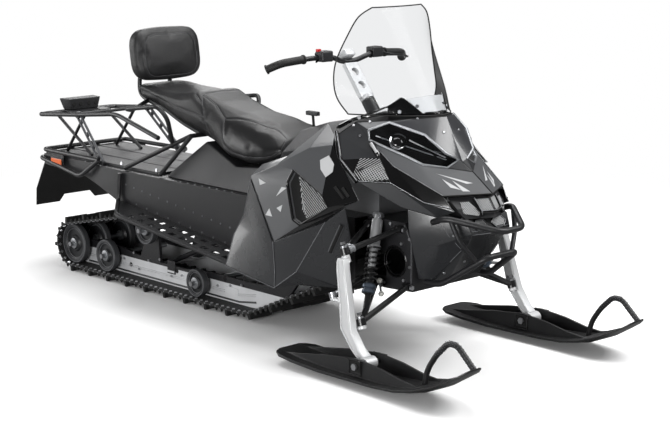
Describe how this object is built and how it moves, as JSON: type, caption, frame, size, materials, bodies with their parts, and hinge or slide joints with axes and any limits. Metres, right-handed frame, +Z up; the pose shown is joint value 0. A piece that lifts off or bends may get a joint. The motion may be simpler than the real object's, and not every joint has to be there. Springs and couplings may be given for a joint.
{
  "type": "snowmobile",
  "caption": "Two-up utility snowmobile with a rear luggage rack, backrest, windshield, steered skis and a rubber drive track.",
  "frame": {"origin": "centre of the bounding box in plan, on the ground", "axes": "+X forward, +Y to the rider's left, +Z up"},
  "size_m": [3.26, 1.19, 1.4055],
  "materials": {
    "black_steel": "satin",
    "black_plastic": "satin",
    "dark_plastic": "satin",
    "grey_panel": "satin",
    "vinyl": "matte",
    "rubber": "matte",
    "silver": "satin",
    "cast": "matte",
    "clear": "gloss",
    "lamp": "gloss"
  },
  "bodies": {
    "chassis": {"tunnel": "dark_plastic", "running_board_right": "black_steel", "running_board_left": "black_steel", "snow_flap": "black_plastic", "rear_guard": "black_steel", "cargo_deck": "black_plastic", "rack_frame": "black_steel", "tail_lamp": "black_plastic", "seat_frame": "black_steel", "seat_base": "black_plastic", "seat_cushion": "vinyl", "backrest_pad": "vinyl", "backrest_bracket": "black_steel", "console": "black_plastic", "side_panel_right": "grey_panel", "side_panel_left": "grey_panel", "belly_pan_right": "dark_plastic", "belly_pan_left": "dark_plastic", "hood": "grey_panel", "headlamp_right": "lamp", "headlamp_left": "lamp", "nose_grille": "dark_plastic", "chin_fairing": "dark_plastic", "front_bumper": "black_steel", "windshield": "clear", "windshield_fairing": "dark_plastic", "starter_handle": "black_plastic", "engine_block": "cast", "front_bulkhead": "black_steel", "upper_arm_right": "black_steel", "upper_arm_left": "black_steel", "lower_arm_right": "black_steel", "lower_arm_left": "black_steel", "shock_right": "silver", "shock_left": "silver", "skid_frame": "silver", "rear_idler_wheels": "rubber", "second_wheels": "rubber", "bogie_wheels": "rubber", "carrier_wheels": "rubber", "drive_axle": "rubber", "track": "rubber"},
    "handlebar": {"steering_riser": "silver", "handlebar": "black_steel", "bar_pad": "black_plastic", "throttle_block": "black_plastic", "brake_block": "black_plastic"},
    "spindle_right": {"spindle_right": "silver"},
    "tie_rod_right": {"tie_rod_right": "silver"},
    "ski_right": {"ski_right": "black_plastic", "ski_loop_right": "black_plastic", "runner_right": "silver"},
    "spindle_left": {"spindle_left": "silver"},
    "tie_rod_left": {"tie_rod_left": "silver"},
    "ski_left": {"ski_left": "black_plastic", "ski_loop_left": "black_plastic", "runner_left": "silver"}
  },
  "joints": [
    {"name": "steering", "type": "hinge", "parent": "chassis", "child": "handlebar", "pos_m": [0.57, 0, 1.009], "axis": [-0.6048, 0, 0.7964], "range_deg": [-35, 35]},
    {"name": "spindle_right", "type": "hinge", "parent": "chassis", "child": "spindle_right", "pos_m": [0.988, -0.442, 0.217], "axis": [-0.3269, 0, 0.9451], "range_deg": [-28, 28]},
    {"name": "tie_rod_right", "type": "hinge", "parent": "spindle_right", "child": "tie_rod_right", "pos_m": [0.846, -0.462, 0.305], "axis": [-0.3269, 0, 0.9451], "range_deg": [-28, 28]},
    {"name": "ski_rock_right", "type": "hinge", "parent": "spindle_right", "child": "ski_right", "pos_m": [1.071, -0.485, 0.078], "axis": [0, -1, 0], "range_deg": [-6, 16]},
    {"name": "spindle_left", "type": "hinge", "parent": "chassis", "child": "spindle_left", "pos_m": [0.988, 0.442, 0.217], "axis": [-0.3269, 0, 0.9451], "range_deg": [-28, 28]},
    {"name": "tie_rod_left", "type": "hinge", "parent": "spindle_left", "child": "tie_rod_left", "pos_m": [0.846, 0.462, 0.305], "axis": [-0.3269, 0, 0.9451], "range_deg": [-28, 28]},
    {"name": "ski_rock_left", "type": "hinge", "parent": "spindle_left", "child": "ski_left", "pos_m": [1.071, 0.485, 0.078], "axis": [0, -1, 0], "range_deg": [-6, 16]}
  ],
  "couplings": [
    {"joint": "spindle_right", "follows": "steering", "ratio": 0.8},
    {"joint": "tie_rod_right", "follows": "steering", "ratio": -0.8},
    {"joint": "spindle_left", "follows": "steering", "ratio": 0.8},
    {"joint": "tie_rod_left", "follows": "steering", "ratio": -0.8}
  ]
}
